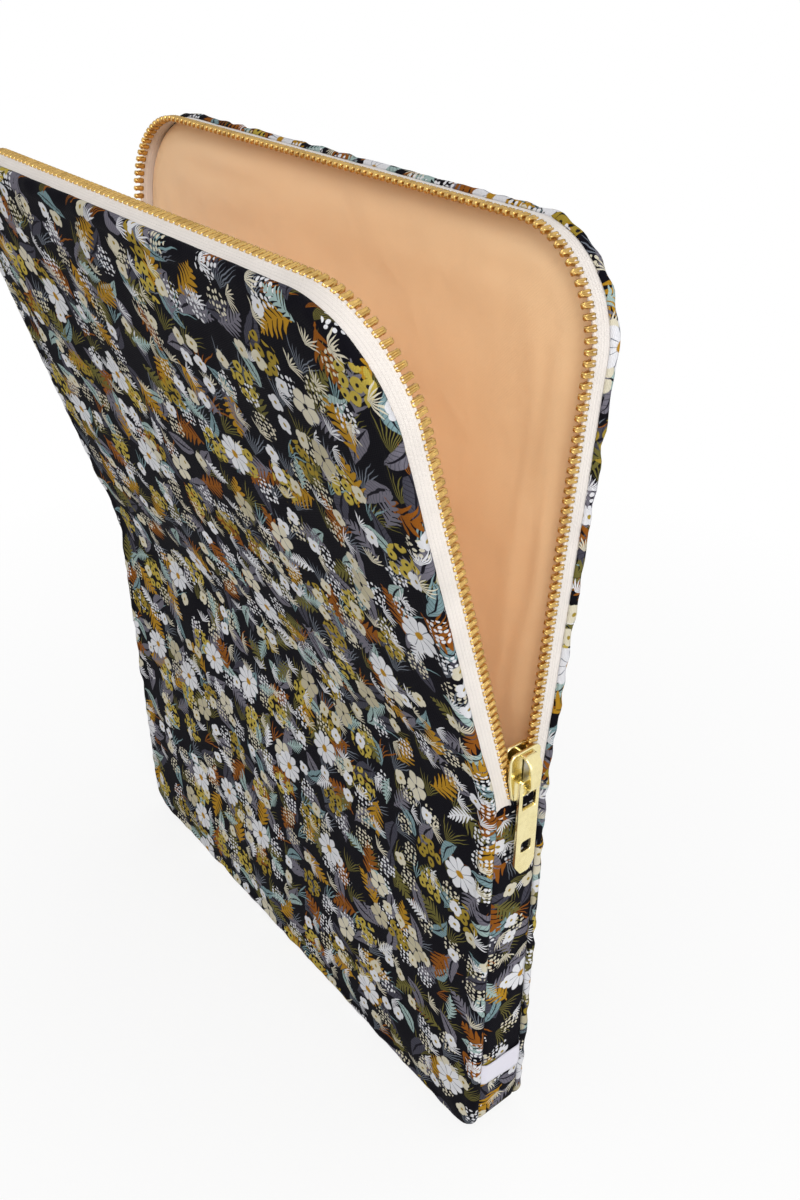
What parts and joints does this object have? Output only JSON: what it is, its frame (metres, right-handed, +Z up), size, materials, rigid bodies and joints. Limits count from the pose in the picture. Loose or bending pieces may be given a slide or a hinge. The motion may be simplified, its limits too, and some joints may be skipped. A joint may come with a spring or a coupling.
{
  "type": "laptop sleeve",
  "caption": "Padded fabric laptop sleeve with a metal zip round its upper half, standing open, with a lined pocket.",
  "frame": {"origin": "centre of the bottom face of the gusset, midway between the panels, where the sleeve stands on its bottom edge", "axes": "+Z up from the bottom edge to the mouth, +X to the side that carries the zip slider, -Y out of the front panel"},
  "size_m": [0.2574, 0.0837, 0.34],
  "materials": {
    "printed_cotton": "printed plain-weave cotton, dark ground with a small flower print",
    "padding": "thin closed foam padding",
    "lining_cotton": "plain tan cotton lining with a soft sheen",
    "zip_tape": "woven cream zip tape",
    "brass_teeth": "polished brass",
    "gold_slider": "bright pale gold plating",
    "spring_steel": "bare spring steel",
    "satin_ribbon": "pale satin ribbon, bare",
    "white_thread": "white sewing thread"
  },
  "bodies": {
    "pouch": {"front_cloth_lower": "printed_cotton", "front_padding_lower": "padding", "front_lining_lower": "lining_cotton", "back_cloth_lower": "printed_cotton", "back_padding_lower": "padding", "back_lining_lower": "lining_cotton", "gusset_cloth": "printed_cotton", "gusset_padding": "padding", "gusset_lining": "lining_cotton", "near_zip_tail": "zip_tape", "far_zip_tail": "zip_tape", "bottom_stop": "brass_teeth", "side_label": "satin_ribbon", "near_hem_stitching": "white_thread", "far_hem_stitching": "white_thread"},
    "front_flap": {"front_cloth_upper": "printed_cotton", "front_padding_upper": "padding", "front_lining_upper": "lining_cotton", "front_zip_tape": "zip_tape", "front_zip_teeth": "brass_teeth", "front_top_stop": "brass_teeth"},
    "back_flap": {"back_cloth_upper": "printed_cotton", "back_padding_upper": "padding", "back_lining_upper": "lining_cotton", "back_zip_tape": "zip_tape", "back_zip_teeth": "brass_teeth", "back_top_stop": "brass_teeth"},
    "slider": {"slider_body": "gold_slider", "slider_crown": "gold_slider", "lock_spring": "spring_steel"},
    "pull": {"pull_tab": "gold_slider"}
  },
  "joints": [
    {"name": "slider_run", "type": "slide", "parent": "pouch", "child": "slider", "axis": [0, 0, 1], "range_m": [0, 0.1195]},
    {"name": "front_flap_fold", "type": "hinge", "parent": "pouch", "child": "front_flap", "pos_m": [0, -0.0107, 0.166], "axis": [1, 0, 0], "range_deg": [-15.4, 0]},
    {"name": "back_flap_fold", "type": "hinge", "parent": "pouch", "child": "back_flap", "pos_m": [0, 0.0107, 0.166], "axis": [-1, 0, 0], "range_deg": [-5.1, 0]},
    {"name": "pull_swing", "type": "hinge", "parent": "slider", "child": "pull", "pos_m": [0.1283, 0, 0.1767], "axis": [0, -1, 0], "range_deg": [0, 170]}
  ],
  "couplings": [
    {"joint": "front_flap_fold", "follows": "slider_run", "rad_per_m": -2.2492},
    {"joint": "back_flap_fold", "follows": "slider_run", "rad_per_m": -0.74486}
  ]
}
